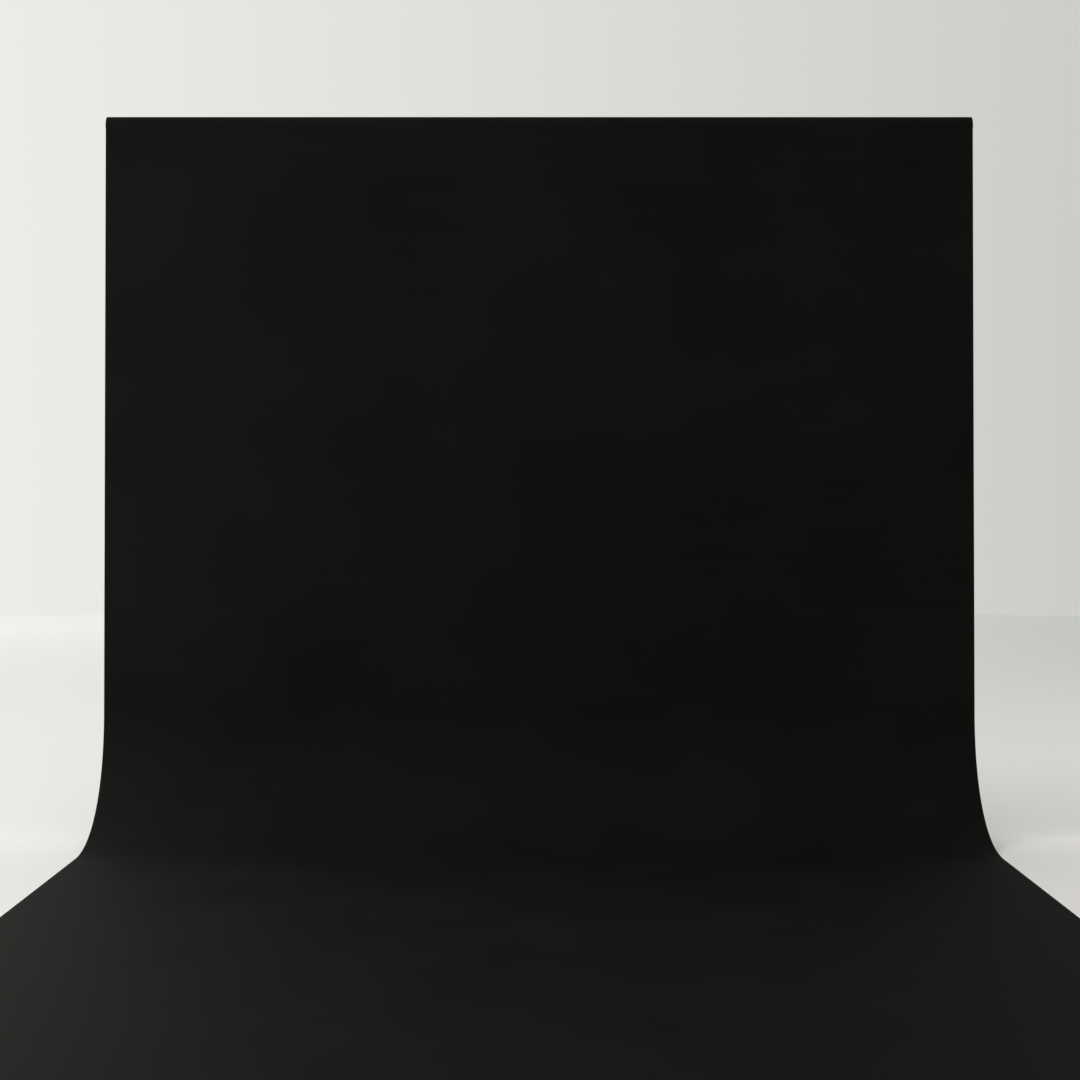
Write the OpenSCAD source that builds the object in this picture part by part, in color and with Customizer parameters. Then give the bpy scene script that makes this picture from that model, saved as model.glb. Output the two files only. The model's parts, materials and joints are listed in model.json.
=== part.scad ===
// Seamless backdrop paper on a cardboard core, hung between two wall arms.
// X runs along the roll, +Y points at the wall, +Z is up. The floor is z = 0 and the
// origin lies under the middle of the whole assembly.

/* [Paper] */
// Width of the paper sheet
paper_w = 2720; // [1350:10:3560]
// Thickness of the paper
paper_t = 0.2; // [0.15:0.05:0.4]
// Depth of the paper still wound on the core
wound_build = 2.5; // [1:0.5:12]
// How far the wound turns wander past the sheet's edge
edge_wander = 0.8; // [0:0.1:1]

/* [Core] */
// Outside diameter of the cardboard core
core_od = 57; // [56:0.5:60]
// Wall of the cardboard core
core_wall = 3.1; // [2.8:0.1:3.4]

/* [Sweep] */
// Height of the roll's axis above the floor
axis_h = 2227.5; // [1800:0.5:2800]
// Distance from the roll's axis to the wall
wall_gap = 367; // [330:1:600]
// How far forward the hanging sheet leans from top to foot
lean = 25.7; // [0:0.1:60]
// Height and depth of the curve from the hanging sheet to the floor
sweep_r = 404; // [250:1:700]
// Squareness of the curve: 2 is a circle, more is squarer
sweep_power = 2.2; // [2:0.1:3]
// Distance from the roll's axis to the leading edge on the floor
floor_reach = 2950; // [2000:10:3800]
// Length of sheet that lies on top of the part that slides
tail_len = 790; // [100:10:1200]

/* [End plug] */
// Length of the rubber sleeve that grips the core
sleeve_len = 36; // [24:1:60]
// Diameter of the axle
axle_d = 9.96; // [8:0.02:11]
// Number of clamp screws in one plug
clamp_count = 3; // [2:1:4]

/* [Bracket] */
// Thickness of the end plate
plate_t = 2.5; // [2:0.5:4]
// Side of the square arm tube
arm_w = 30; // [25:1:40]
// Wall of the arm tube
arm_wall = 2; // [1.5:0.5:3]
// Width of the wall plate
wall_plate_w = 80; // [76:1:110]
// Height of the wall plate
wall_plate_h = 140; // [134:1:200]
// Thickness of the wall plate
wall_plate_t = 5; // [4:0.5:8]
// Radius of the four screw holes in the wall plate
wall_hole_r = 3.3; // [2.5:0.1:4.5]

/* [Brake] */
// Length of the brake lever behind its pivot
grip_len = 80; // [60:1:100]
// Width of the brake lever
lever_w = 12; // [8:1:14]
// Radius of the pivot pin
pin_r = 3; // [2.5:0.1:3.5]

/* [Hidden] */
$fn = 96;

left = -1;
right = 1;

// the roll, as distances from its axis
core_r = core_od / 2;
bore_r = core_r - core_wall;
roll_r = core_r + wound_build;
half_w = paper_w / 2;

// the assembly's depth, from the wall's face to the leading edge, has the origin at its middle
depth = wall_gap + floor_reach;
roll_y = depth / 2 - wall_gap;

// gaps between pieces that move past each other
sheet_gap = 0.3;
end_gap = 0.5;
running = 0.04;
screw_gap = 0.1;
slot_gap = 0.05;
over = 1;

// the sheet, with y as a distance from the roll's axis
sheet_top_y = -roll_r - sheet_gap;
sheet_foot_y = sheet_top_y - lean;
sweep_y = sheet_foot_y - sweep_r;
tail_z = paper_t + sheet_gap;
sweep_steps = 40;

// the plug, along x
lip_t = 1.2;
lip_r = core_r - 1.5;
lip_x = half_w + lip_t;
seat_len = 16;
seat_r = bore_r - 0.05;
barrel_r = 17;
squeeze = 1;
ring_t = 8;
ring_r = bore_r - 0.6;
ring_bore_r = 9;
sleeve_x0 = half_w - seat_len - sleeve_len;
bush_r = 7;
bush_len = 10;
axle_r = axle_d / 2;
clamp_r = 2;
clamp_pitch_r = 12.5;
clamp_head_r = 3.5;
clamp_head_t = 4;

// the axle
flat_half = 4;
groove_r = 4;
clip_r = 7;
clip_t = 1;
clip_x = sleeve_x0 - clip_t;
axle_x0 = clip_x - 3;
head_r = 8.5;
head_t = 1.5;

// the end plate, with y and z as distances from the roll's axis
plate_gap = 0.2;
plate_x0 = lip_x + end_gap;
plate_x1 = plate_x0 + plate_t;
head_x0 = plate_x1 + plate_gap;
hook_half = 10;
hook_front_h = 14;
hook_back_h = 24;
plate_len = 112;
screw_ys = [64, 98];
screw_r = 3;
screw_head_r = 6;
screw_len = 8;

// the arm
arm_x0 = plate_x0 - arm_w;
arm_y0 = 45;
cap_t = 1.5;
wall_plate_y = wall_gap - wall_plate_t;
wall_plate_top = 45;
wall_plate_x0 = plate_x0 - wall_plate_w;
wall_hole_dx = 56;
wall_hole_zs = [30, -82];
gusset_t = 4;
gusset_h = 50;
gusset_len = 110;

// the brake, with y and z as distances from the roll's axis
pivot_y = 52;
pivot_z = -40;
ear_r = 9;
lever_t = 4;
lever_x0 = half_w - 21;
lever_y0 = -10;
boss_r = 7;
grip_r = 4;
pad_len = 16;
pad_w = 14;
pin_cap_r = 5;
pin_cap_t = 2;
spring_wire_r = 0.5;
spring_r = 5.2;
spring_turns = 4;
spring_leg = 9;
spring_pitch = 1.7;
spring_gap = 1.2;
spring_sides = 6;
spring_steps = 12;

// stands the children at the roll's axis; the left side is the right side mirrored
module at_axis(side = right) {
    translate([0, roll_y, axis_h])
        mirror([side == left ? 1 : 0, 0, 0])
            children();
}

module rod_x(r, x0, x1, y = 0, z = 0) {
    translate([x0, y, z])
        rotate([0, 90, 0])
            cylinder(r = r, h = x1 - x0);
}

module tube_x(r, bore, x0, x1, y = 0, z = 0) {
    difference() {
        rod_x(r, x0, x1, y, z);
        rod_x(bore, x0 - over, x1 + over, y, z);
    }
}

// a y-z outline stretched from x0 to x1
module slab_x(x0, x1) {
    translate([x0, 0, 0])
        rotate([90, 0, 90])
            linear_extrude(height = x1 - x0)
                children();
}

module box(x0, x1, y0, y1, z0, z1) {
    translate([x0, y0, z0])
        cube([x1 - x0, y1 - y0, z1 - z0]);
}

// rectangle in the y-z outline plane
module area(y0, y1, z0, z1) {
    translate([y0, z0])
        square([y1 - y0, z1 - z0]);
}

module clamp_places() {
    for (i = [0 : clamp_count - 1])
        rotate([i * 360 / clamp_count, 0, 0])
            translate([0, 0, clamp_pitch_r])
                children();
}

// ---------- core and paper ----------

module core_tube() {
    color([0.55, 0.43, 0.30])
        at_axis()
            tube_x(core_r, bore_r, -half_w, half_w);
}

module wound_paper() {
    color([0.07, 0.07, 0.07])
        at_axis()
            tube_x(roll_r, core_r, -half_w - edge_wander, half_w + edge_wander);
}

module hanging_web() {
    foot_z = sweep_r + tail_z;
    color([0.08, 0.08, 0.08])
        translate([0, roll_y, 0])
            slab_x(-half_w, half_w)
                polygon([
                    [sheet_top_y, axis_h],
                    [sheet_top_y - paper_t, axis_h],
                    [sheet_foot_y - paper_t, foot_z],
                    [sheet_foot_y, foot_z]
                ]);
}

// points of the curve from the foot of the hanging sheet to the floor
function sweep_points(r) = [
    for (i = [0 : sweep_steps])
        let (a = 90 * i / sweep_steps)
        [
            sweep_y + r * pow(cos(a), 2 / sweep_power),
            sweep_r + tail_z - r * pow(sin(a), 2 / sweep_power)
        ]
];

function reversed(list) = [for (i = [len(list) - 1 : -1 : 0]) list[i]];

module sweep_web() {
    under = concat(sweep_points(sweep_r), [[sweep_y - tail_len, tail_z]]);
    upper = concat(sweep_points(sweep_r - paper_t), [[sweep_y - tail_len, tail_z + paper_t]]);
    color([0.09, 0.09, 0.09])
        translate([0, roll_y, 0])
            slab_x(-half_w, half_w)
                polygon(concat(under, reversed(upper)));
}

module floor_web() {
    color([0.10, 0.10, 0.10])
        translate([0, roll_y, 0])
            box(-half_w, half_w, -floor_reach, sweep_y, 0, paper_t);
}

// ---------- end plug, turns with the core ----------

module hub(side) {
    color([0.16, 0.16, 0.17])
        at_axis(side)
            difference() {
                union() {
                    rod_x(lip_r, half_w, lip_x);
                    rod_x(seat_r, half_w - seat_len, half_w);
                    rod_x(barrel_r, sleeve_x0 + squeeze, half_w - seat_len);
                }
                rod_x(bush_r, sleeve_x0 - over, lip_x + over);
                clamp_places() {
                    rod_x(clamp_r + screw_gap, sleeve_x0, lip_x + over);
                    rod_x(clamp_head_r + screw_gap, lip_x - clamp_head_t, lip_x + over);
                }
            }
}

module sleeve(side) {
    color([0.10, 0.10, 0.10])
        at_axis(side)
            tube_x(bore_r, barrel_r, sleeve_x0, half_w - seat_len);
}

module clamp_ring(side) {
    color([0.70, 0.71, 0.73])
        at_axis(side)
            difference() {
                tube_x(ring_r, ring_bore_r, sleeve_x0 - ring_t, sleeve_x0);
                clamp_places()
                    rod_x(clamp_r, sleeve_x0 - ring_t - over, sleeve_x0 + over);
            }
}

module clamp_screws(side) {
    socket_r = 1.7;
    socket_depth = 2;
    color([0.60, 0.61, 0.63])
        at_axis(side)
            clamp_places() {
                rod_x(clamp_r, sleeve_x0 - ring_t, lip_x - clamp_head_t);
                difference() {
                    rod_x(clamp_head_r, lip_x - clamp_head_t, lip_x);
                    translate([lip_x - socket_depth, 0, 0])
                        rotate([0, 90, 0])
                            cylinder(r = socket_r, h = socket_depth + over, $fn = 6);
                }
            }
}

module bushes(side) {
    bore = axle_r + running;
    inner_x = sleeve_x0 + squeeze;
    color([0.85, 0.83, 0.75])
        at_axis(side) {
            tube_x(bush_r, bore, inner_x, inner_x + bush_len);
            tube_x(bush_r, bore, lip_x - bush_len, lip_x);
        }
}

// ---------- axle and bracket, fixed ----------

module axle(side) {
    flat_x0 = plate_x0 - plate_gap;
    color([0.72, 0.73, 0.75])
        at_axis(side)
            difference() {
                union() {
                    rod_x(axle_r, axle_x0, head_x0);
                    rod_x(head_r, head_x0, head_x0 + head_t);
                }
                for (s = [left, right])
                    box(
                        flat_x0, head_x0,
                        s > 0 ? flat_half : -head_r, s > 0 ? head_r : -flat_half,
                        -head_r, head_r
                    );
                difference() {
                    rod_x(axle_r + over, clip_x, clip_x + clip_t);
                    rod_x(groove_r, clip_x - over, clip_x + clip_t + over);
                }
            }
}

module retainer(side) {
    opening = 6;
    color([0.45, 0.45, 0.47])
        at_axis(side)
            difference() {
                tube_x(clip_r, groove_r, clip_x, clip_x + clip_t);
                box(clip_x - over, clip_x + clip_t + over, -opening / 2, opening / 2, 0, clip_r + over);
            }
}

module end_plate_outline() {
    slot_half = flat_half + slot_gap;
    difference() {
        union() {
            circle(r = hook_half);
            area(-hook_half, hook_half, 0, hook_front_h);
            area(slot_half, hook_half * 2, 0, hook_back_h);
            area(0, plate_len, -hook_half, arm_w / 2);
            area(arm_y0, plate_len, -arm_w / 2, arm_w / 2);
            area(pivot_y - ear_r, pivot_y + ear_r, pivot_z, 0);
            translate([pivot_y, pivot_z])
                circle(r = ear_r);
        }
        area(-slot_half, slot_half, 0, hook_back_h + over);
        intersection() {
            circle(r = axle_r + running);
            area(-slot_half, slot_half, -hook_half, hook_half);
        }
        for (y = screw_ys)
            translate([y, 0])
                circle(r = screw_r);
        translate([pivot_y, pivot_z])
            circle(r = pin_r);
    }
}

module end_plate(side) {
    color([0.14, 0.14, 0.15])
        at_axis(side)
            slab_x(plate_x0, plate_x1)
                end_plate_outline();
}

module plate_screws(side) {
    socket_r = 2.3;
    color([0.55, 0.56, 0.58])
        at_axis(side)
            for (y = screw_ys) {
                rod_x(screw_r, plate_x1 - screw_len, plate_x1, y);
                difference() {
                    rod_x(screw_head_r, plate_x1, plate_x1 + head_t, y);
                    translate([plate_x1 + head_t / 2, y, 0])
                        rotate([0, 90, 0])
                            cylinder(r = socket_r, h = head_t, $fn = 6);
                }
            }
}

module arm(side) {
    inside = arm_w / 2 - arm_wall;
    gusset_x = plate_x0 - arm_w / 2 - gusset_t / 2;
    hole_x = wall_plate_x0 + wall_plate_w / 2;
    color([0.14, 0.14, 0.15])
        at_axis(side)
            difference() {
                union() {
                    box(arm_x0, plate_x0, arm_y0, wall_plate_y, -arm_w / 2, arm_w / 2);
                    box(
                        wall_plate_x0, plate_x0,
                        wall_plate_y, wall_gap,
                        wall_plate_top - wall_plate_h, wall_plate_top
                    );
                    slab_x(gusset_x, gusset_x + gusset_t)
                        polygon([
                            [wall_plate_y, -arm_w / 2],
                            [wall_plate_y, -arm_w / 2 - gusset_h],
                            [wall_plate_y - gusset_len, -arm_w / 2]
                        ]);
                }
                box(
                    arm_x0 + arm_wall, plate_x0 - arm_wall,
                    arm_y0 - over, wall_plate_y,
                    -inside, inside
                );
                for (y = screw_ys)
                    rod_x(screw_r, plate_x0 - arm_w / 2, plate_x0 + over, y);
                for (dx = [-wall_hole_dx / 2, wall_hole_dx / 2], z = wall_hole_zs)
                    translate([hole_x + dx, wall_plate_y - over, z])
                        rotate([-90, 0, 0])
                            cylinder(r = wall_hole_r, h = wall_plate_t + 2 * over);
            }
}

module arm_cap(side) {
    plug_len = 8;
    plug_half = arm_w / 2 - arm_wall;
    mid_x = arm_x0 + arm_w / 2;
    color([0.08, 0.08, 0.08])
        at_axis(side) {
            box(arm_x0, plate_x0, arm_y0 - cap_t, arm_y0, -arm_w / 2, arm_w / 2);
            box(
                mid_x - plug_half, mid_x + plug_half,
                arm_y0, arm_y0 + plug_len,
                -plug_half, plug_half
            );
        }
}

// ---------- brake ----------

module brake_lever(side) {
    grip_y = pivot_y + grip_len;
    lever_x1 = lever_x0 + lever_w;
    bar_z = pivot_z - lever_t / 2;
    color([0.16, 0.16, 0.17])
        at_axis(side)
            difference() {
                union() {
                    box(lever_x0, lever_x1, lever_y0, grip_y, bar_z, bar_z + lever_t);
                    rod_x(boss_r, lever_x0, lever_x1, pivot_y, pivot_z);
                    rod_x(grip_r, lever_x0, lever_x1, grip_y, pivot_z);
                }
                rod_x(pin_r + running, lever_x0 - over, lever_x1 + over, pivot_y, pivot_z);
            }
}

module brake_pad(side) {
    mid_x = lever_x0 + lever_w / 2;
    color([0.20, 0.08, 0.07])
        at_axis(side)
            difference() {
                box(
                    mid_x - pad_w / 2, mid_x + pad_w / 2,
                    -pad_len / 2, pad_len / 2,
                    pivot_z + lever_t / 2, -roll_r + over
                );
                rod_x(roll_r + sheet_gap, mid_x - pad_w, mid_x + pad_w);
            }
}

module brake_pin(side) {
    color([0.70, 0.71, 0.73])
        at_axis(side) {
            rod_x(pin_r, lever_x0 - running, plate_x1, pivot_y, pivot_z);
            rod_x(pin_cap_r, lever_x0 - pin_cap_t - running, lever_x0 - running, pivot_y, pivot_z);
            rod_x(pin_cap_r, plate_x1, plate_x1 + head_t, pivot_y, pivot_z);
        }
}

// one wire section: centre p, with the wire's own plane spanned by x and the radius at angle a
function wire_ring(p, a) = [
    for (k = [0 : spring_sides - 1])
        let (b = 360 * k / spring_sides)
        [
            p[0] + spring_wire_r * sin(b),
            p[1] + spring_wire_r * cos(b) * cos(a),
            p[2] + spring_wire_r * cos(b) * sin(a)
        ]
];

// torsion spring: a straight leg, the turns round the pin, and a second leg
module brake_spring(side) {
    x0 = lever_x0 + lever_w + spring_gap;
    end_a = 360 * spring_turns + 90;
    steps = floor(spring_steps * end_a / 360);
    turns = [
        for (i = [0 : steps])
            let (a = end_a * i / steps)
            wire_ring([x0 + spring_pitch * a / 360, spring_r * cos(a), spring_r * sin(a)], a)
    ];
    first = wire_ring([x0, spring_r, -spring_leg], 0);
    last = wire_ring([x0 + spring_pitch * end_a / 360, -spring_leg, spring_r], end_a);
    rings = concat([first], turns, [last]);
    n = len(rings);
    m = spring_sides;
    sides = [
        for (i = [0 : n - 2], k = [0 : m - 1])
            [i * m + k, i * m + (k + 1) % m, (i + 1) * m + (k + 1) % m, (i + 1) * m + k]
    ];
    caps = [[for (k = [m - 1 : -1 : 0]) k], [for (k = [0 : m - 1]) (n - 1) * m + k]];
    color([0.62, 0.63, 0.65])
        at_axis(side)
            translate([0, pivot_y, pivot_z])
                polyhedron(points = [for (r = rings, p = r) p], faces = concat(sides, caps));
}

core_tube();
wound_paper();
hanging_web();
sweep_web();
floor_web();
hub(left);  // left_hub
sleeve(left);  // left_sleeve
clamp_ring(left);  // left_clamp_ring
clamp_screws(left);  // left_clamp_screws
bushes(left);  // left_bushes
axle(left);  // left_axle
retainer(left);  // left_retainer
end_plate(left);  // left_end_plate
plate_screws(left);  // left_plate_screws
arm(left);  // left_arm
arm_cap(left);  // left_arm_cap
brake_lever(left);  // left_brake_lever
brake_pad(left);  // left_brake_pad
brake_pin(left);  // left_brake_pin
brake_spring(left);  // left_brake_spring
hub(right);  // right_hub
sleeve(right);  // right_sleeve
clamp_ring(right);  // right_clamp_ring
clamp_screws(right);  // right_clamp_screws
bushes(right);  // right_bushes
axle(right);  // right_axle
retainer(right);  // right_retainer
end_plate(right);  // right_end_plate
plate_screws(right);  // right_plate_screws
arm(right);  // right_arm
arm_cap(right);  // right_arm_cap
brake_lever(right);  // right_brake_lever
brake_pad(right);  // right_brake_pad
brake_pin(right);  // right_brake_pin
brake_spring(right);  // right_brake_spring
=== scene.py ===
"""Looks for the backdrop paper roll: one continuous black sheet off its roll, the wound turns and
cardboard core, and the two wall brackets with their hooks and brakes."""

import json
import math

import bmesh
import bpy
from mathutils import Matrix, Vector, noise


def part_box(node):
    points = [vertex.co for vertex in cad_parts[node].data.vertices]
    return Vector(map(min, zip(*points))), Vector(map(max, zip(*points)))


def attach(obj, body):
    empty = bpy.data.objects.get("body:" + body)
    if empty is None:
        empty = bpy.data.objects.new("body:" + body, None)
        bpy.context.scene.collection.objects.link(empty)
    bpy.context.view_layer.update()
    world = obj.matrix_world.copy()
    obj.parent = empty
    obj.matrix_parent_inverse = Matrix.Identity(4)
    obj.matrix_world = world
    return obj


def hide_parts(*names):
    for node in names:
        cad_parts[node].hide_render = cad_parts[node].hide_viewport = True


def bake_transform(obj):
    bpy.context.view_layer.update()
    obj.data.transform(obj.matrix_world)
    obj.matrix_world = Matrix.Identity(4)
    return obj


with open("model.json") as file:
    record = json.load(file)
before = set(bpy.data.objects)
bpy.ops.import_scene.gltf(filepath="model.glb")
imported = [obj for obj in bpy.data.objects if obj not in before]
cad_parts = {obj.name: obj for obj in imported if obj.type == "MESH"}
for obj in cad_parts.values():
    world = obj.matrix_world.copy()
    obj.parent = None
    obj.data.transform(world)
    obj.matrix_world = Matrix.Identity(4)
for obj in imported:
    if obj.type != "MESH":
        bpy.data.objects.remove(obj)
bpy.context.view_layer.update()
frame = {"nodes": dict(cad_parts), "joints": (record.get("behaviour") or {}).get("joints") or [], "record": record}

TAU = 2 * math.pi
MM = 0.001

# ---------------------------------------------------------------- places, from the frame

JOINTS = {j["name"]: j for j in frame["joints"]}
MOUNTS = {m["name"]: m for m in frame["record"]["mounts"]}
AXIS = Vector(JOINTS["roll_spin"]["pos_m"])
SIDES = {"left": -1, "right": 1}

SHEET_LO, SHEET_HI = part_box("sweep_web")
FLOOR_LO, FLOOR_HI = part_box("floor_web")
HALF_W = SHEET_HI.x
PAPER_T = 0.2 * MM

CORE_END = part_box("core_tube")[1].x
WOUND_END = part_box("wound_paper")[1].x
CORE_R = 28.5 * MM
CORE_BORE_R = 25.4 * MM
ROLL_R = 31.0 * MM

# the curve from wall to floor: its radius, its centre's y and its squareness; the leading edge's y
SWEEP_R = SHEET_HI.z - SHEET_LO.z
SWEEP_Y = FLOOR_HI.y
SWEEP_POWER = 2.2
FLOOR_FRONT = FLOOR_LO.y

# ---------------------------------------------------------------- camera

# how far in front of the roll's axis it stands and how high, then its lens and sensor in millimetres
CAMERA_BACK = 6.397
CAMERA_HEIGHT = 1.055
LENS = 67.64
SENSOR = 36
SHIFT_X = 0.00064
SHIFT_Y = -0.0380


def make_camera():
    """A level camera in front of the sheet's middle."""
    data = bpy.data.cameras.new("camera")
    data.lens = LENS
    data.sensor_width = SENSOR
    data.shift_x = SHIFT_X
    data.shift_y = SHIFT_Y
    camera = bpy.data.objects.new("camera", data)
    camera.location = (0, AXIS.y - CAMERA_BACK, CAMERA_HEIGHT)
    camera.rotation_euler = (math.pi / 2, 0, 0)
    bpy.context.scene.collection.objects.link(camera)
    bpy.context.scene.camera = camera


make_camera()

# ---------------------------------------------------------------- node helpers


class Nodes:
    """A material's node tree, with a principled shader already wired to the output."""

    def __init__(self, name):
        self.material = bpy.data.materials.new(name)
        self.material.use_nodes = True
        self.tree = self.material.node_tree
        self.shader = self.tree.nodes["Principled BSDF"]
        self.place = self.tree.nodes.new("ShaderNodeTexCoord").outputs["Object"]

    def add(self, kind, **values):
        """A new node; each value is one of its settings or, failing that, one of its inputs."""
        node = self.tree.nodes.new("ShaderNode" + kind)
        for key, value in values.items():
            if hasattr(node, key):
                setattr(node, key, value)
            else:
                node.inputs[key.replace("_", " ")].default_value = value
        return node

    def link(self, out, into):
        self.tree.links.new(out, into)

    def set(self, **values):
        for key, value in values.items():
            self.shader.inputs[key.replace("_", " ")].default_value = value

    def stretched(self, scale):
        mapping = self.add("Mapping")
        mapping.inputs["Scale"].default_value = scale
        self.link(self.place, mapping.inputs["Vector"])
        return mapping.outputs["Vector"]

    def noise(self, scale, detail=4.0, rough=0.55, stretch=(1, 1, 1)):
        node = self.add("TexNoise", Scale=scale, Detail=detail, Roughness=rough)
        self.link(self.stretched(stretch), node.inputs["Vector"])
        return node.outputs["Fac"]

    def ramp(self, fac, stops):
        node = self.add("ValToRGB")
        elements = node.color_ramp.elements
        while len(elements) < len(stops):
            elements.new(0.5)
        for element, (position, color) in zip(elements, stops):
            element.position = position
            element.color = (*color, 1)
        self.link(fac, node.inputs["Fac"])
        return node.outputs["Color"]

    def spread(self, fac, low, high, start=0.3, stop=0.7):
        """Low where fac is start or less, high where it is stop or more."""
        node = self.add("MapRange")
        for key, value in (("From Min", start), ("From Max", stop), ("To Min", low), ("To Max", high)):
            node.inputs[key].default_value = value
        self.link(fac, node.inputs["Value"])
        return node.outputs["Result"]

    def sum(self, a, b, share):
        """The value a plus a share of b."""
        node = self.add("Math", operation="MULTIPLY_ADD")
        self.link(b, node.inputs[0])
        node.inputs[1].default_value = share
        self.link(a, node.inputs[2])
        return node.outputs["Value"]

    def near_line_along_x(self, y, z, inner, outer):
        """1 within inner of the line along x through y and z, falling to 0 at outer."""
        flat = self.add("VectorMath", operation="MULTIPLY")
        self.link(self.place, flat.inputs[0])
        flat.inputs[1].default_value = (0, 1, 1)
        away = self.add("VectorMath", operation="DISTANCE")
        self.link(flat.outputs["Vector"], away.inputs[0])
        away.inputs[1].default_value = (0, y, z)
        return self.spread(away.outputs["Value"], 1.0, 0.0, inner, outer)

    def product(self, a, b):
        node = self.add("Math", operation="MULTIPLY")
        self.link(a, node.inputs[0])
        self.link(b, node.inputs[1])
        return node.outputs["Value"]

    def mixed(self, fac, a, b):
        """Color a where fac is 0 and b where it is 1; each is a socket or a plain color."""
        node = self.add("Mix", data_type="RGBA")
        self.link(fac, node.inputs[0])
        for value, into in ((a, node.inputs[6]), (b, node.inputs[7])):
            if isinstance(value, tuple):
                into.default_value = (*value, 1)
            else:
                self.link(value, into)
        return node.outputs[2]

    def bump(self, height, distance, strength=1.0):
        node = self.add("Bump", Distance=distance, Strength=strength)
        self.link(height, node.inputs["Height"])
        self.link(node.outputs["Normal"], self.shader.inputs["Normal"])


# ---------------------------------------------------------------- materials

PAPER_DARK = (0.0034, 0.0033, 0.0030)
PAPER_LIGHT = (0.0053, 0.0051, 0.0047)
CARDBOARD_DARK = (0.26, 0.17, 0.10)
CARDBOARD_LIGHT = (0.46, 0.34, 0.22)
COAT_DARK = (0.008, 0.008, 0.0085)
COAT_LIGHT = (0.018, 0.018, 0.0185)
BARE_STEEL = (0.42, 0.42, 0.43)

# the coat is worn away this close to the roll's axis, and whole from the second distance on
WORN_WITHIN = 5.5 * MM
WORN_NO_FURTHER = 9.5 * MM


def paper_material():
    """Matt black sheet: faint streaks across it, as it came off the machine, and fine fibre."""
    n = Nodes("black_paper")
    n.set(Specular_IOR_Level=0.042)
    mottle = n.noise(3.0, detail=5, rough=0.5)
    streaks = n.noise(60.0, detail=3, stretch=(0.05, 1, 1))
    fibres = n.noise(900.0, detail=3, rough=0.6)
    tone = n.sum(n.sum(mottle, streaks, 0.35), fibres, 0.4)
    n.link(
        n.ramp(n.spread(tone, 0.0, 1.0, 0.65, 1.1), [(0.0, PAPER_DARK), (1.0, PAPER_LIGHT)]),
        n.shader.inputs["Base Color"],
    )
    n.link(n.spread(mottle, 0.75, 0.81), n.shader.inputs["Roughness"])
    n.bump(n.sum(fibres, streaks, 0.5), 0.00005, 0.5)
    return n.material


def cardboard_material():
    """Brown board with faint fibres and the seam of its spiral."""
    n = Nodes("cardboard")
    n.set(Specular_IOR_Level=0.2)
    fibres = n.noise(700.0, detail=4, stretch=(0.3, 1, 1))
    wave = n.add("TexWave", wave_type="BANDS", bands_direction="X", Scale=6.0, Distortion=0.4)
    n.link(n.place, wave.inputs["Vector"])
    tone = n.sum(fibres, wave.outputs["Fac"], 0.1)
    n.link(
        n.ramp(tone, [(0.35, CARDBOARD_DARK), (0.75, CARDBOARD_LIGHT)]),
        n.shader.inputs["Base Color"],
    )
    n.link(n.spread(fibres, 0.8, 0.95), n.shader.inputs["Roughness"])
    n.bump(fibres, 0.0001, 0.6)
    return n.material


def plastic_material(name, dark, light, rough, grain):
    """Moulded plastic or rubber: a cloudy color and a fine grain."""
    n = Nodes(name)
    n.set(Specular_IOR_Level=0.45)
    cloud = n.noise(40.0, detail=2)
    grains = n.noise(grain, detail=2)
    n.link(n.ramp(cloud, [(0.3, dark), (0.7, light)]), n.shader.inputs["Base Color"])
    n.link(n.spread(cloud, rough - 0.05, rough + 0.07), n.shader.inputs["Roughness"])
    n.bump(grains, 0.00006, 0.35)
    return n.material


def powder_coat_material():
    """Fine-textured black coat, rubbed through to the steel round the axle's seat."""
    n = Nodes("black_powder_coat")
    n.set(Specular_IOR_Level=0.3)
    peel = n.noise(1100.0, detail=2, rough=0.5)
    dust = n.noise(14.0, detail=5, rough=0.6)
    scuffs = n.noise(420.0, detail=5, rough=0.7)
    rubbed = n.product(
        n.near_line_along_x(AXIS.y, AXIS.z, WORN_WITHIN, WORN_NO_FURTHER),
        n.spread(scuffs, 0.0, 1.0, 0.44, 0.56),
    )
    coat = n.ramp(dust, [(0.35, COAT_DARK), (0.75, COAT_LIGHT)])
    n.link(n.mixed(rubbed, coat, BARE_STEEL), n.shader.inputs["Base Color"])
    n.link(rubbed, n.shader.inputs["Metallic"])
    n.link(n.spread(dust, 0.42, 0.58), n.shader.inputs["Roughness"])
    n.bump(peel, 0.00006, 0.6)
    return n.material


def steel_material(name, dark, light, rough):
    """Plated or blackened steel: a cloudy bloom and fine tool marks."""
    n = Nodes(name)
    n.set(Metallic=1.0)
    bloom = n.noise(90.0, detail=5, rough=0.65)
    turned = n.noise(1500.0, detail=2, stretch=(0.04, 1, 1))
    n.link(n.ramp(bloom, [(0.3, dark), (0.7, light)]), n.shader.inputs["Base Color"])
    n.link(n.spread(bloom, rough - 0.06, rough + 0.1), n.shader.inputs["Roughness"])
    n.bump(turned, 0.00002, 0.4)
    return n.material


# name: (darkest color, lightest color, roughness, grain's scale)
PLASTICS = {
    "black_nylon": ((0.012, 0.012, 0.013), (0.022, 0.022, 0.023), 0.48, 900.0),
    "sleeve_rubber": ((0.014, 0.014, 0.014), (0.024, 0.023, 0.022), 0.8, 500.0),
    "bush_nylon": ((0.62, 0.58, 0.48), (0.74, 0.70, 0.60), 0.42, 700.0),
    "black_plastic": ((0.011, 0.011, 0.012), (0.019, 0.019, 0.020), 0.4, 800.0),
    "pad_rubber": ((0.085, 0.022, 0.017), (0.13, 0.036, 0.028), 0.85, 420.0),
}

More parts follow.
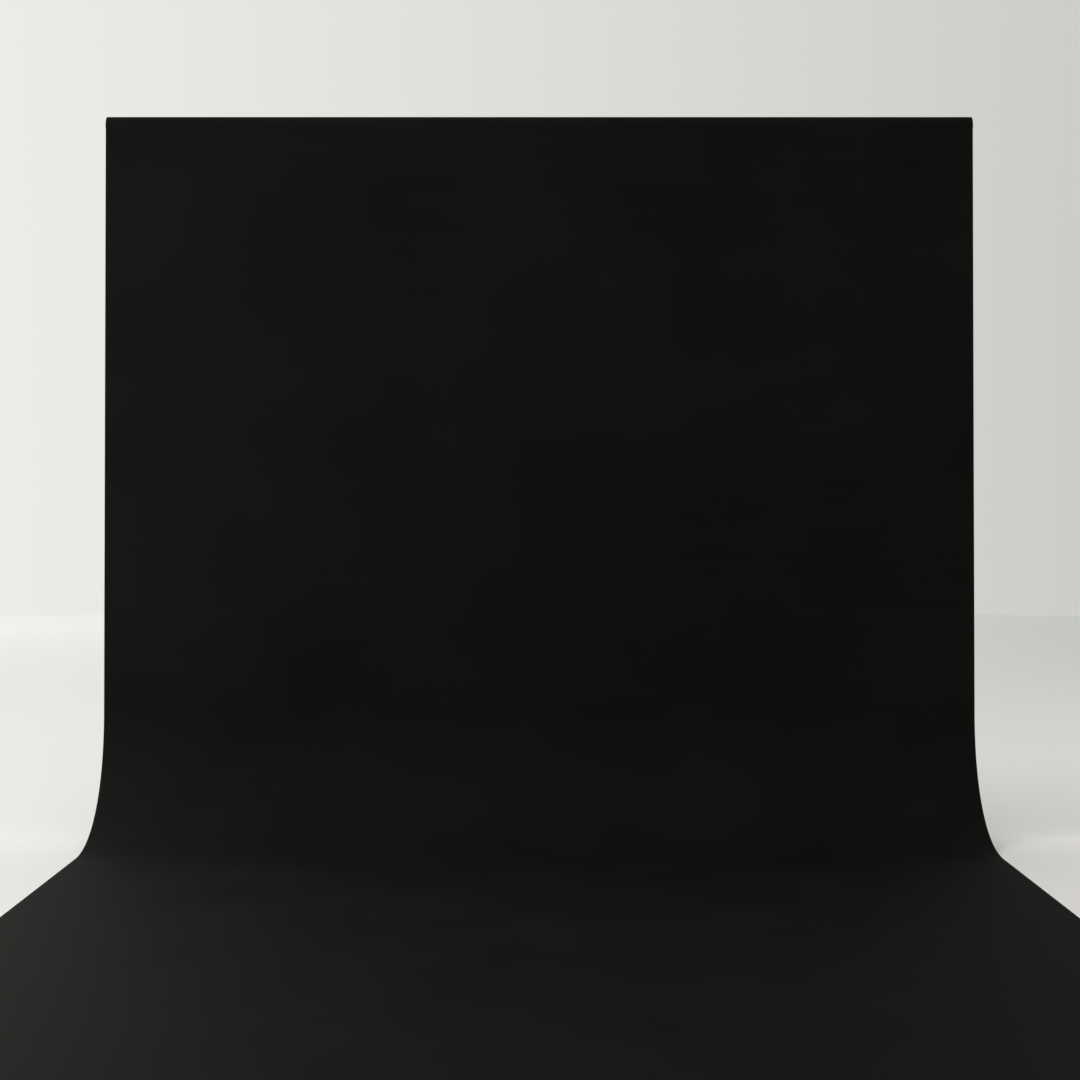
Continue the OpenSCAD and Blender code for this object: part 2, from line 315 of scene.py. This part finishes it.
# name: (darkest color, lightest color, roughness)
STEELS = {
    "zinc_steel": ((0.46, 0.47, 0.49), (0.60, 0.61, 0.62), 0.3),
    "dark_steel": ((0.05, 0.05, 0.053), (0.10, 0.10, 0.105), 0.38),
    "spring_steel": ((0.36, 0.36, 0.38), (0.50, 0.50, 0.51), 0.26),
}

MATERIALS = {
    "black_paper": paper_material(),
    "cardboard": cardboard_material(),
    "black_powder_coat": powder_coat_material(),
    **{name: plastic_material(name, *values) for name, values in PLASTICS.items()},
    **{name: steel_material(name, *values) for name, values in STEELS.items()},
}


def finish_cad_nodes():
    """Every CAD node takes the material of its own slot in the record."""
    for row in frame["record"]["subparts"]:
        materials = frame["nodes"][row["node"]].data.materials
        materials.clear()
        materials.append(MATERIALS[row["material_slot"]])


finish_cad_nodes()

# ---------------------------------------------------------------- mesh helpers


def piece_from(mesh_data, name, slot_name, smooth_angle):
    """A piece of one material, smooth across edges below the angle, in degrees."""
    mesh_data.materials.append(MATERIALS[slot_name])
    for polygon in mesh_data.polygons:
        polygon.use_smooth = True
    mesh_data.set_sharp_from_angle(angle=math.radians(smooth_angle))
    made = bpy.data.objects.new(name, mesh_data)
    bpy.context.scene.collection.objects.link(made)
    return made


def piece_of(name, points, faces, slot_name, smooth_angle):
    """A piece built from points and faces."""
    data = bpy.data.meshes.new(name)
    data.from_pydata(points, [], faces)
    data.validate()
    return piece_from(data, name, slot_name, smooth_angle)


def lathe(outline, segments):
    """Points and faces of a closed outline of (x, radius) pairs turned round the roll's axis."""
    points = []
    for x, radius in outline:
        for k in range(segments):
            a = TAU * k / segments
            points.append((x, AXIS.y + radius * math.cos(a), AXIS.z + radius * math.sin(a)))
    count = len(outline)
    faces = []
    for i in range(count):
        row = i * segments
        following = ((i + 1) % count) * segments
        for k in range(segments):
            nxt = (k + 1) % segments
            faces.append((row + k, following + k, following + nxt, row + nxt))
    return points, faces


# ---------------------------------------------------------------- the roll

ROLL_SEGMENTS = 144

# how far the inner turns' edges stop short of the outermost one's: at least, and up to so much more
STRAY_LEAST = 0.35 * MM
STRAY_MORE = 0.9 * MM

CORE_CHAMFER = 0.4 * MM
CORE_BAND = 4 * CORE_CHAMFER
CORE_GAP = 0.05 * MM


def make_wound_turns():
    """The wound paper: each turn's edge stops a little short of its neighbours' or past them."""
    turns = int((ROLL_R - CORE_R) / PAPER_T)
    layer = (ROLL_R - CORE_R) / turns

    def end(sign):
        outline = []
        for i in range(turns):
            stray = noise.noise(Vector((i * 0.61, sign * 7.3, 0.5)))
            x = sign * (WOUND_END - STRAY_LEAST - STRAY_MORE * abs(stray))
            if i == turns - 1:
                x = sign * WOUND_END
            outline.append((x, CORE_R + i * layer))
            outline.append((x, CORE_R + (i + 1) * layer))
        return outline

    outline = end(1) + list(reversed(end(-1)))
    points, faces = lathe(outline, ROLL_SEGMENTS)
    turned = piece_of("wound_turns", points, faces, "black_paper", smooth_angle=30)
    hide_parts("wound_paper")
    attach(turned, "roll")


def make_core():
    """The cardboard tube, with its rims eased and its outside a hair inside the wound turns."""
    x = CORE_END
    outer = CORE_R - CORE_GAP
    half = [
        (x - CORE_BAND, CORE_BORE_R),
        (x - CORE_CHAMFER, CORE_BORE_R),
        (x, CORE_BORE_R + CORE_CHAMFER),
        (x, outer - CORE_CHAMFER),
        (x - CORE_CHAMFER, outer),
        (x - CORE_BAND, outer),
    ]
    outline = half + [(-px, radius) for px, radius in reversed(half)]
    points, faces = lathe(outline, ROLL_SEGMENTS)
    core = piece_of("cardboard_core", points, faces, "cardboard", smooth_angle=50)
    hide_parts("core_tube")
    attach(core, "roll")


make_wound_turns()
make_core()

# ---------------------------------------------------------------- the sheet

# the sheet starts so many degrees up round the roll from its front; then its rows and columns
WRAP_DEG = 70
ROWS_WRAP = 14
ROWS_HANG = 90
ROWS_SWEEP = 72
ROWS_FLOOR = 110
COLUMNS = 96

# how high the sheet's underside lies, and how far its front face stands off the roll: at its
# buried start it is just under the roll's surface, and where it leaves the roll it is clear of it
LAY_Z = 0.15 * MM
START_LIFT = -0.1 * MM
LEAVE_LIFT = 0.35 * MM

# waves of the paper: slow and tiny ones, which reach full size this far below the roll
SLOW_WAVE = 1.1 * MM
TINY_WAVE = 0.35 * MM
WAVE_DROP = 0.9


def sheet_path(floor_z):
    """The front face's line in y and z, from its start on the roll to the leading edge."""
    path = []
    rise = SWEEP_R + LAY_Z
    foot = Vector((SWEEP_Y + SWEEP_R - PAPER_T, rise))
    lean = math.atan2(foot.x - (AXIS.y - ROLL_R), AXIS.z - rise)
    for i in range(ROWS_WRAP):
        a = math.radians(WRAP_DEG) * (1 - i / ROWS_WRAP) - lean * i / ROWS_WRAP
        radius = ROLL_R + START_LIFT + (LEAVE_LIFT - START_LIFT) * i / ROWS_WRAP
        path.append(Vector((AXIS.y - radius * math.cos(a), AXIS.z + radius * math.sin(a))))
    top = Vector((AXIS.y - ROLL_R - LEAVE_LIFT, AXIS.z))
    for i in range(ROWS_HANG):
        path.append(top.lerp(foot, i / ROWS_HANG))
    radius = SWEEP_R - PAPER_T
    for i in range(ROWS_SWEEP):
        a = math.pi / 2 * i / ROWS_SWEEP
        path.append(Vector((
            SWEEP_Y + radius * math.cos(a) ** (2 / SWEEP_POWER),
            rise - radius * math.sin(a) ** (2 / SWEEP_POWER),
        )))
    for i in range(ROWS_FLOOR + 1):
        path.append(Vector((SWEEP_Y + (FLOOR_FRONT - SWEEP_Y) * i / ROWS_FLOOR, floor_z)))
    return path


def buckle(x, y, z):
    """How far the paper stands off its mean surface: long soft waves, none at the roll."""
    hang = min(1.0, max(0.0, (AXIS.z - z) / WAVE_DROP))
    slow = noise.noise(Vector((x * 0.9, y * 0.7, z * 0.8 + 3.1)))
    tiny = noise.noise(Vector((x * 2.6 + 9.0, y * 2.2, z * 2.4)))
    return hang * (SLOW_WAVE * slow + TINY_WAVE * tiny)


def make_sheet():
    """One closed sheet along its path: the front face, the back face, then the four edges."""
    floor_z = LAY_Z + PAPER_T
    path = sheet_path(floor_z)
    rows = len(path)
    points = []
    for layer_offset in (0.0, PAPER_T):
        for i, p in enumerate(path):
            before = path[max(i - 1, 0)]
            after = path[min(i + 1, rows - 1)]
            along = (after - before).normalized()
            back = Vector((-along.y, along.x))
            for c in range(COLUMNS + 1):
                x = -HALF_W + 2 * HALF_W * c / COLUMNS
                wave = max(buckle(x, p.x, p.y), floor_z - p.y)
                y = p.x + back.x * (layer_offset - wave)
                z = p.y + back.y * (layer_offset - wave)
                points.append((x, y, z))
    stride = COLUMNS + 1
    under = rows * stride
    faces = []
    for i in range(rows - 1):
        for c in range(COLUMNS):
            a = i * stride + c
            b = a + stride
            faces.append((a, b, b + 1, a + 1))
            faces.append((under + a, under + a + 1, under + b + 1, under + b))
    for i in range(rows - 1):
        for c, flip in ((0, False), (COLUMNS, True)):
            a = i * stride + c
            b = a + stride
            quad = (a, under + a, under + b, b)
            faces.append(tuple(reversed(quad)) if flip else quad)
    for c in range(COLUMNS):
        for row, flip in ((0, True), (rows - 1, False)):
            a = row * stride + c
            quad = (a, under + a, under + a + 1, a + 1)
            faces.append(tuple(reversed(quad)) if flip else quad)
    sheet = piece_of("paper_sheet", points, faces, "black_paper", smooth_angle=60)
    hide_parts("hanging_web", "sweep_web", "floor_web")
    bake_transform(sheet)


make_sheet()

# ---------------------------------------------------------------- hardware

BODY_OF = {n: body for body, names in frame["record"]["behaviour"]["bodies"].items() for n in names}
SLOT_OF = {row["node"]: row["material_slot"] for row in frame["record"]["subparts"]}
SHARP = math.radians(35)
FLAT = math.radians(1)
NEXT_TO_NOTHING = 0.002 * MM


def clean_copy(node):
    """A CAD node's mesh as plain faces, with no doubled points and no needless edges."""
    bm = bmesh.new()
    bm.from_mesh(frame["nodes"][node].data)
    bmesh.ops.remove_doubles(bm, verts=bm.verts, dist=NEXT_TO_NOTHING)
    bmesh.ops.dissolve_limit(bm, angle_limit=FLAT, verts=bm.verts, edges=bm.edges)
    return bm


def round_edges(bm, width, steps, wanted=lambda edge: True):
    """Rounds the sharp edges that wanted picks."""
    edges = [
        e for e in bm.edges
        if len(e.link_faces) == 2 and e.calc_face_angle() > SHARP and wanted(e)
    ]
    bmesh.ops.bevel(
        bm, geom=edges, offset=width, segments=steps, profile=0.5,
        affect="EDGES", clamp_overlap=True,
    )


def along_x(edge):
    """Whether an edge runs along the roll's axis."""
    step = edge.verts[1].co - edge.verts[0].co
    return abs(step.x) > 0.999 * step.length


def off_axis(edge):
    """How far an edge along x is from the roll's axis."""
    place = edge.verts[0].co
    return math.hypot(place.y - AXIS.y, place.z - AXIS.z)


def stands_for(node, *parts):
    """The finished meshes, as one piece, take the place of their CAD node on the same body."""
    data = bpy.data.meshes.new(node)
    whole = bmesh.new()
    for bm in parts:
        bmesh.ops.dissolve_degenerate(bm, dist=NEXT_TO_NOTHING, edges=bm.edges)
        bm.to_mesh(data)
        bm.free()
        whole.from_mesh(data)
    whole.to_mesh(data)
    whole.free()
    made = piece_from(data, node + "_piece", SLOT_OF[node], smooth_angle=50)
    flat = made.modifiers.new("flat_faces", "WEIGHTED_NORMAL")
    flat.keep_sharp = True
    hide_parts(node)
    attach(made, BODY_OF[node])


# how wide the rounding of each node's edges is, in millimetres
EASED = {
    "hub": 0.5, "clamp_ring": 0.4, "clamp_screws": 0.3, "bushes": 0.2, "axle": 0.5, "retainer": 0.1,
    "plate_screws": 0.4, "arm_cap": 1.0, "brake_pad": 0.7, "brake_pin": 0.5, "brake_lever": 0.9,
}


def make_eased(side):
    """The nodes whose shape needs only its edges rounded."""
    for name, width in EASED.items():
        bm = clean_copy(f"{side}_{name}")
        round_edges(bm, width * MM, steps=3)
        stands_for(f"{side}_{name}", bm)


END_PLATE_CORNER = 2.2 * MM
END_PLATE_EASE = 0.35 * MM
SEAT_R = 5 * MM


def make_end_plate(side):
    """Cut from sheet, with its outer corners rounded, but not its seat, and its edges eased."""
    node = f"{side}_end_plate"
    bm = clean_copy(node)
    round_edges(
        bm, END_PLATE_CORNER, steps=4,
        wanted=lambda edge: along_x(edge) and edge.is_convex and off_axis(edge) > SEAT_R,
    )
    round_edges(bm, END_PLATE_EASE, steps=2)
    stands_for(node, bm)


def sweep(points, radii, sides):
    """Points and faces of a closed tube round a line of points, with a radius at each point."""
    count = len(points)
    ring_points, faces = [], []
    normal = (points[1] - points[0]).orthogonal().normalized()
    for i, point in enumerate(points):
        along = (points[min(i + 1, count - 1)] - points[max(i - 1, 0)]).normalized()
        normal = (normal - along * normal.dot(along)).normalized()
        other = along.cross(normal)
        for k in range(sides):
            a = TAU * k / sides
            ring_points.append(point + (normal * math.cos(a) + other * math.sin(a)) * radii[i])
    for i in range(count - 1):
        row = i * sides
        following = row + sides
        for k in range(sides):
            nxt = (k + 1) % sides
            faces.append((row + k, row + nxt, following + nxt, following + k))
    faces.append(tuple(reversed(range(sides))))
    faces.append(tuple(range((count - 1) * sides, count * sides)))
    return ring_points, faces


def joined(tubes):
    """Several (points, faces) as one."""
    points, faces = [], []
    for more_points, more_faces in tubes:
        base = len(points)
        points += more_points
        faces += [tuple(base + k for k in face) for face in more_faces]
    return points, faces


BEAD_PITCH = 1.6 * MM
BEAD_STEP = BEAD_PITCH / 4
BEAD_SIDES = 8

# a bead's radius as shares of its full width: at its very ends, how much each step from there
# adds, between two ripples, how much a ripple adds, and how much it strays
END_SHARE = 0.35
END_GROWTH = 0.25
TROUGH_SHARE = 0.86
RIPPLE_SHARE = 0.16
STRAY_SHARE = 0.05
STRAY_SCALE = 300


def weld_bead(corners, width):
    """A rippled bead along straight runs between corners, thinner at both of its ends."""
    line = []
    for a, b in zip(corners, corners[1:]):
        steps = max(2, int((b - a).length / BEAD_STEP))
        line += [a.lerp(b, i / steps) for i in range(steps)]
    line.append(corners[-1])
    radii = []
    run = 0.0
    for i, point in enumerate(line):
        run += (point - line[i - 1]).length if i else 0.0
        ripple = abs(math.sin(math.pi * run / BEAD_PITCH))
        ends = min(1.0, END_SHARE + END_GROWTH * min(i, len(line) - 1 - i))
        stray = STRAY_SHARE * noise.noise(point * STRAY_SCALE)
        radii.append(width * ends * (TROUGH_SHARE + RIPPLE_SHARE * ripple + stray))
    return sweep(line, radii, BEAD_SIDES)


# the arm's square tube: its wall, its outside corners, and how far it reaches into the wall plate
ARM_WALL = 2 * MM
ARM_CORNER = 3 * MM
TUBE_IN_PLATE = 0.2 * MM

# the part of the cap that covers the tube's end
CAP_LIP = 1.5 * MM

WALL_PLATE_T = 5 * MM
PLATE_CORNER = 6 * MM
GUSSET_T = 4 * MM
GUSSET_H = 50 * MM
GUSSET_LEN = 110 * MM
ARM_EASE = 0.5 * MM
CORNER_STEPS = 6
HOLE_SIDES = 48

# the beads round the tube and beside the gusset; the second kind ends short of the gusset's tip
BEAD_R = 1.8 * MM
THIN_BEAD_R = 0.8 * BEAD_R
BEAD_CORNER = 2.0 * MM
BEAD_STOP = 6 * MM


def rounded_ring(middle, half_x, half_z, corner, y):
    """Points of a rectangle with rounded corners, which stands across y."""
    ring = []
    for k in range(4 * (CORNER_STEPS + 1)):
        quarter, step = divmod(k, CORNER_STEPS + 1)
        a = TAU / 4 * (quarter + step / CORNER_STEPS)
        side_x = 1 if quarter in (0, 3) else -1
        side_z = 1 if quarter in (0, 1) else -1
        ring.append(Vector((
            middle.x + side_x * (half_x - corner) + corner * math.cos(a),
            y,
            middle.z + side_z * (half_z - corner) + corner * math.sin(a),
        )))
    return ring


def square_tube(middle, half, start_y, end_y):
    """A closed tube along y with rounded corners, outside and inside."""
    bm = bmesh.new()
    inside = half - ARM_WALL
    inside_corner = ARM_CORNER - ARM_WALL
    rings = [
        [bm.verts.new(point) for point in ring]
        for ring in (
            rounded_ring(middle, half, half, ARM_CORNER, start_y),
            rounded_ring(middle, half, half, ARM_CORNER, end_y),
            rounded_ring(middle, inside, inside, inside_corner, end_y),
            rounded_ring(middle, inside, inside, inside_corner, start_y),
        )
    ]
    count = len(rings[0])
    for r, ring in enumerate(rings):
        following = rings[(r + 1) % len(rings)]
        for k in range(count):
            nxt = (k + 1) % count
            bm.faces.new((ring[k], ring[nxt], following[nxt], following[k]))
    bmesh.ops.recalc_face_normals(bm, faces=bm.faces)
    return bm


def wall_plate(side, low, high):
    """A plate with rounded corners and the four screw holes of its mount."""
    mount = MOUNTS[f"{side}_wall_screws"]
    dims = mount["dims"]
    radius = dims["hole_r_mm"] * MM
    half_x = (high.x - low.x) / 2
    half_z = (high.z - low.z) / 2
    outlines = [rounded_ring((low + high) / 2, half_x, half_z, PLATE_CORNER, low.y)]
    for across in (-1, 1):
        for up in (-1, 1):
            x = mount["pos_m"][0] + across * dims["spacing_x_mm"] / 2 * MM
            z = mount["pos_m"][2] + up * dims["spacing_y_mm"] / 2 * MM
            outlines.append([
                Vector((
                    x + radius * math.cos(TAU * k / HOLE_SIDES),
                    low.y,
                    z + radius * math.sin(TAU * k / HOLE_SIDES),
                ))
                for k in range(HOLE_SIDES)
            ])
    bm = bmesh.new()
    rims = []
    for outline in outlines:
        ring = [bm.verts.new(point) for point in outline]
        rims += [bm.edges.new((ring[k - 1], ring[k])) for k in range(len(ring))]
    bmesh.ops.triangle_fill(bm, use_beauty=True, edges=rims)
    swept = bmesh.ops.extrude_face_region(bm, geom=bm.faces[:])["geom"]
    moved = [item for item in swept if isinstance(item, bmesh.types.BMVert)]
    bmesh.ops.translate(bm, verts=moved, vec=(0, high.y - low.y, 0))
    bmesh.ops.recalc_face_normals(bm, faces=bm.faces)
    round_edges(bm, ARM_EASE, steps=2)
    return bm


def gusset(x, plate_y, bottom):
    """The three-cornered plate in the angle between the wall plate and the tube's underside."""
    bm = bmesh.new()
    outline = [(plate_y, bottom), (plate_y, bottom - GUSSET_H), (plate_y - GUSSET_LEN, bottom)]
    near, far = [
        [bm.verts.new((x + step * GUSSET_T / 2, y, z)) for y, z in outline] for step in (-1, 1)
    ]
    bm.faces.new(near)
    bm.faces.new(far)
    for k in range(3):
        nxt = (k + 1) % 3
        bm.faces.new((near[k], near[nxt], far[nxt], far[k]))
    bmesh.ops.recalc_face_normals(bm, faces=bm.faces)
    round_edges(bm, ARM_EASE, steps=2)
    return bm


def make_arm(side):
    """Square tube with rounded corners, welded to its wall plate and gusset."""
    node = f"{side}_arm"
    sign = SIDES[side]
    arm_low, arm_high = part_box(node)
    cap_low, cap_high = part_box(f"{side}_arm_cap")
    plate_y = arm_high.y - WALL_PLATE_T
    middle = (cap_low + cap_high) / 2
    half = (cap_high.x - cap_low.x) / 2
    top, bottom = cap_high.z, cap_low.z
    stands_for(
        node,
        wall_plate(side, Vector((arm_low.x, plate_y, arm_low.z)), arm_high),
        square_tube(middle, half, cap_low.y + CAP_LIP, plate_y + TUBE_IN_PLATE),
        gusset(middle.x, plate_y, bottom),
    )

    outer = middle.x + half * sign
    inner = middle.x - half * sign
    inset = BEAD_CORNER * sign
    beads = [weld_bead([
        Vector((outer - inset, plate_y, top)),
        Vector((inner + inset, plate_y, top)),
        Vector((inner, plate_y, top - BEAD_CORNER)),
        Vector((inner, plate_y, bottom + BEAD_CORNER)),
        Vector((inner + inset, plate_y, bottom)),
        Vector((outer - inset, plate_y, bottom)),
    ], BEAD_R)]
    for step in (-1, 1):
        x = middle.x + step * GUSSET_T / 2
        beads.append(weld_bead([
            Vector((x, plate_y, bottom - BEAD_R)),
            Vector((x, plate_y, bottom - GUSSET_H)),
        ], THIN_BEAD_R))
        beads.append(weld_bead([
            Vector((x, plate_y - BEAD_R, bottom)),
            Vector((x, plate_y - GUSSET_LEN + BEAD_STOP, bottom)),
        ], THIN_BEAD_R))
    points, faces = joined(beads)
    welds = piece_of(
        f"{side}_arm_welds", points, faces, "black_powder_coat", smooth_angle=60,
    )
    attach(welds, BODY_OF[node])


WIRE_R = 0.5 * MM
WIRE_SIDES = 10
COIL_R = 5.2 * MM
COIL_TURNS = 4.25
COIL_STEPS = 26

# the share of the CAD spring's width that stays free at each end of the coil
COIL_MARGIN = 0.06

# from the pin: up to the lever's top face, back to the leg over it, and up to the leg at the arm
LEVER_BAR_TOP = 2 * MM
LEVER_LEG = 17 * MM
ARM_LEG = 24.4 * MM


def make_spring(side):
    """Torsion spring on the brake's pin: one leg over the lever, the other up to the arm."""
    sign = SIDES[side]
    pivot = Vector(JOINTS[f"{side}_brake_pivot"]["pos_m"])
    low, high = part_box(f"{side}_brake_spring")
    start_x, end_x = (low.x, high.x) if sign > 0 else (high.x, low.x)
    lever_low, lever_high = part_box(f"{side}_brake_lever")
    lever_x = (lever_low.x + lever_high.x) / 2
    leg_z = pivot.z + LEVER_BAR_TOP + WIRE_R
    line = [
        Vector((lever_x, pivot.y + LEVER_LEG, leg_z)),
        Vector((start_x - sign * 2 * MM, pivot.y + LEVER_LEG, leg_z)),
        Vector((start_x, pivot.y + LEVER_LEG - 1.5 * MM, leg_z + 0.4 * MM)),
        Vector((start_x + sign * WIRE_R, pivot.y + 9 * MM, pivot.z + COIL_R - 0.6 * MM)),
    ]
    count = int(COIL_TURNS * COIL_STEPS)
    for i in range(count + 1):
        a = math.pi / 2 + TAU * COIL_TURNS * i / count
        x = start_x + (end_x - start_x) * (COIL_MARGIN + (1 - 2 * COIL_MARGIN) * i / count)
        line.append(Vector((x, pivot.y + COIL_R * math.cos(a), pivot.z + COIL_R * math.sin(a))))
    last = line[-1]
    line += [
        Vector((last.x, last.y, pivot.z + 8 * MM)),
        Vector((last.x, last.y, pivot.z + ARM_LEG - 1.4 * MM)),
        Vector((last.x - sign * 1.5 * MM, last.y, pivot.z + ARM_LEG - 0.1 * MM)),
        Vector((last.x - sign * 6 * MM, last.y, pivot.z + ARM_LEG)),
    ]
    points, faces = sweep(line, [WIRE_R] * len(line), WIRE_SIDES)
    spring = piece_of(f"{side}_spring_wire", points, faces, "spring_steel", smooth_angle=60)
    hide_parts(f"{side}_brake_spring")
    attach(spring, BODY_OF[f"{side}_brake_spring"])


for side in SIDES:
    make_eased(side)
    make_end_plate(side)
    make_arm(side)
    make_spring(side)

# ---------------------------------------------------------------- stage and light

FLOOR_RADIUS = 14.0
FLOOR_SIDES = 96
FLOOR_DROP = 0.3 * MM
FLOOR_COLOR = (0.84, 0.84, 0.83, 1)

# between these distances from the part the floor fades into a glow of painted light in the room's colour
FADE_START = 3.5
FADE_END = 12.0

# the room's colour on the left and on the right; each is reached where a direction's x is this
# far from 0
WALL_BRIGHT = (0.91, 0.90, 0.88)
WALL_DIM = (0.54, 0.545, 0.52)
WALL_TURN = 0.4
WARM = (1.0, 0.96, 0.84)
NEUTRAL = (1.0, 1.0, 1.0)


def wall_color(tree, direction):
    """The pale room's colour by direction, brighter on the side that the daylight comes from."""
    parts = tree.nodes.new("ShaderNodeSeparateXYZ")
    reach = tree.nodes.new("ShaderNodeMapRange")
    ramp = tree.nodes.new("ShaderNodeValToRGB")
    reach.inputs["From Min"].default_value = -WALL_TURN
    reach.inputs["From Max"].default_value = WALL_TURN
    for element, color in zip(ramp.color_ramp.elements, (WALL_BRIGHT, WALL_DIM)):
        element.color = (*color, 1)
    tree.links.new(direction, parts.inputs["Vector"])
    tree.links.new(parts.outputs["X"], reach.inputs["Value"])
    tree.links.new(reach.outputs["Result"], ramp.inputs["Fac"])
    return ramp.outputs["Color"]


def make_floor():
    """A pale floor that fades, far from the part, into a glow of painted light in the room's colour, brighter on
    the left.
    """
    n = Nodes("pale_floor")
    n.set(Base_Color=FLOOR_COLOR, Specular_IOR_Level=0.2)
    n.link(n.spread(n.noise(5.0), 0.6, 0.7), n.shader.inputs["Roughness"])
    away = n.add("VectorMath", operation="LENGTH")
    n.link(n.place, away.inputs[0])
    outward = n.add("VectorMath", operation="NORMALIZE")
    n.link(n.place, outward.inputs[0])
    # painted light: far from the part the floor glows in the room's colour, brighter on the left, instead of being
    # lit by the lamps
    painted_glow = n.add("Emission")
    n.link(wall_color(n.tree, outward.outputs["Vector"]), painted_glow.inputs["Color"])
    fade = n.add("MixShader")
    n.link(n.spread(away.outputs["Value"], 0.0, 1.0, FADE_START, FADE_END), fade.inputs["Fac"])
    n.link(n.shader.outputs["BSDF"], fade.inputs[1])
    n.link(painted_glow.outputs["Emission"], fade.inputs[2])
    n.link(fade.outputs["Shader"], n.tree.nodes["Material Output"].inputs["Surface"])
    points = []
    for k in range(FLOOR_SIDES):
        a = TAU * k / FLOOR_SIDES
        points.append((FLOOR_RADIUS * math.cos(a), FLOOR_RADIUS * math.sin(a), -FLOOR_DROP))
    data = bpy.data.meshes.new("stage_floor")
    data.from_pydata(points, [], [tuple(range(FLOOR_SIDES))])
    data.materials.append(n.material)
    floor = bpy.data.objects.new("stage_floor", data)
    bpy.context.scene.collection.objects.link(floor)
    return floor


def make_light(name, place, aim, size, power, color, not_on=None):
    """A rectangular lamp; not_on is a collection that it leaves unlit."""
    data = bpy.data.lights.new(name, "AREA")
    data.shape = "RECTANGLE"
    data.size, data.size_y = size
    data.energy = power
    data.color = color
    light = bpy.data.objects.new(name, data)
    light.location = place
    light.rotation_euler = (Vector(aim) - Vector(place)).to_track_quat("-Z", "Y").to_euler()
    light.visible_camera = False
    light.light_linking.receiver_collection = not_on
    bpy.context.scene.collection.objects.link(light)


def left_out(floor):
    """A collection that keeps the lamps near the part from lighting the floor."""
    kept_dark = bpy.data.collections.new("not_lit_by_near_lights")
    kept_dark.objects.link(floor)
    kept_dark.collection_objects[0].light_linking.link_state = "EXCLUDE"
    return kept_dark


def make_world():
    """The pale room all round, which gives the part its soft light."""
    world = bpy.data.worlds.new("pale_room")
    world.use_nodes = True
    tree = world.node_tree
    direction = tree.nodes.new("ShaderNodeTexCoord").outputs["Generated"]
    tree.links.new(wall_color(tree, direction), tree.nodes["Background"].inputs["Color"])
    tree.nodes["Background"].inputs["Strength"].default_value = 1.0
    bpy.context.scene.world = world


make_world()
not_floor = left_out(make_floor())
make_light(
    "key_left", place=(-4.2, -1.6, 1.6), aim=(0.0, 0.6, 0.5), size=(2.0, 2.4),
    power=160, color=WARM, not_on=not_floor,
)
make_light(
    "window_left", place=(-3.0, 1.9, 1.1), aim=(-0.6, -0.8, 0.0), size=(1.2, 1.8),
    power=24, color=WARM, not_on=not_floor,
)
make_light(
    "soft_left", place=(-6.5, 0.5, 5.5), aim=(-1.5, 0.5, 0.0), size=(5.0, 5.0),
    power=260, color=NEUTRAL,
)

bpy.context.scene.view_settings.view_transform = "Standard"
